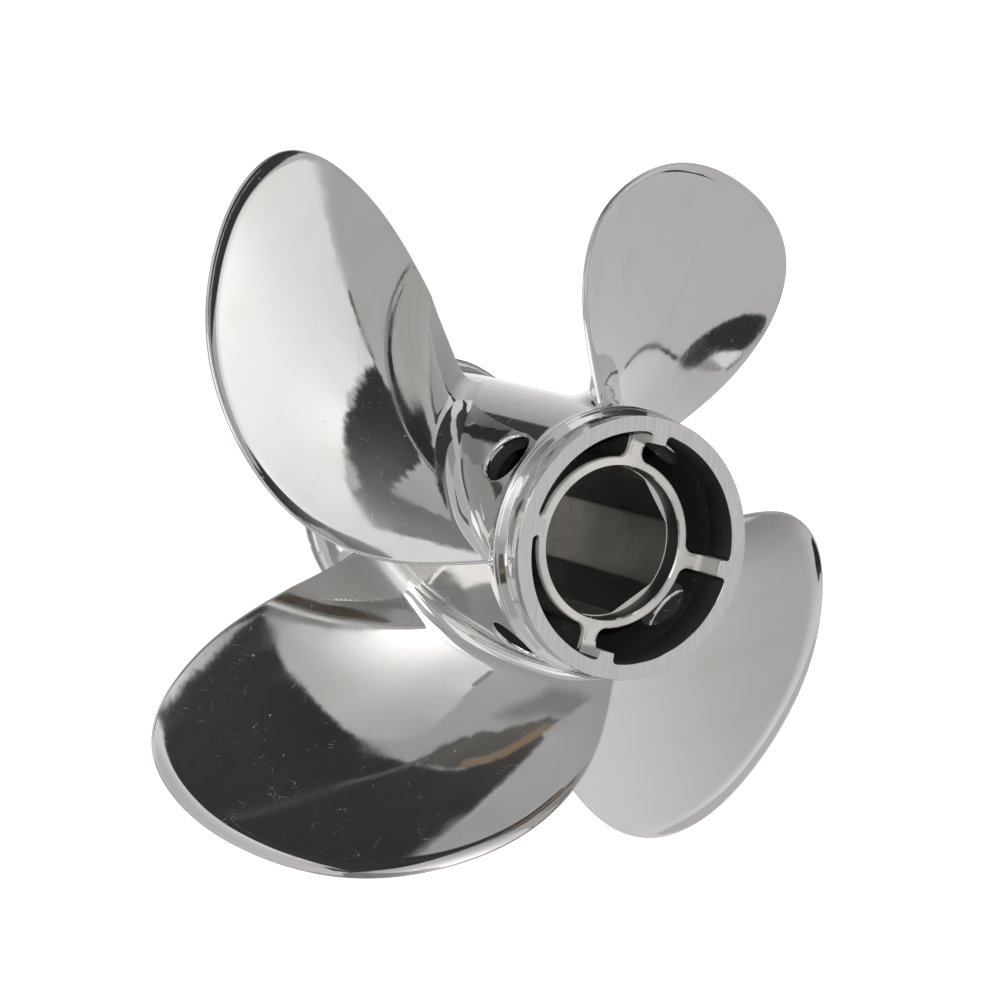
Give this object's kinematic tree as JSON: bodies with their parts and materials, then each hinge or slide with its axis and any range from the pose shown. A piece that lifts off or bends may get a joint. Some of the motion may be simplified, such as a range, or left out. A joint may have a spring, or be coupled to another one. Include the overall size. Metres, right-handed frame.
{
  "type": "outboard boat propeller",
  "caption": "Right-hand boat propeller: ear-shaped cupped blades on a hollow hub with ribs, exhaust passages and a square drive socket.",
  "frame": {"origin": "centre of the hub's front face, on the shaft axis, where the propeller stands on the floor", "axes": "+Z along the shaft axis from the flared front end to the machined aft face; the ribs lie on the X and Y axes"},
  "size_m": [0.3396, 0.3396, 0.18],
  "materials": {
    "polished_steel": "mirror-polished stainless steel with fine scratches",
    "machined_steel": "flat face with straight parallel grinding lines",
    "cast_steel": "dull as-cast skin inside the hub, dark and slightly pitted"
  },
  "bodies": {
    "root": {"propeller_casting": "polished_steel"}
  },
  "joints": []
}
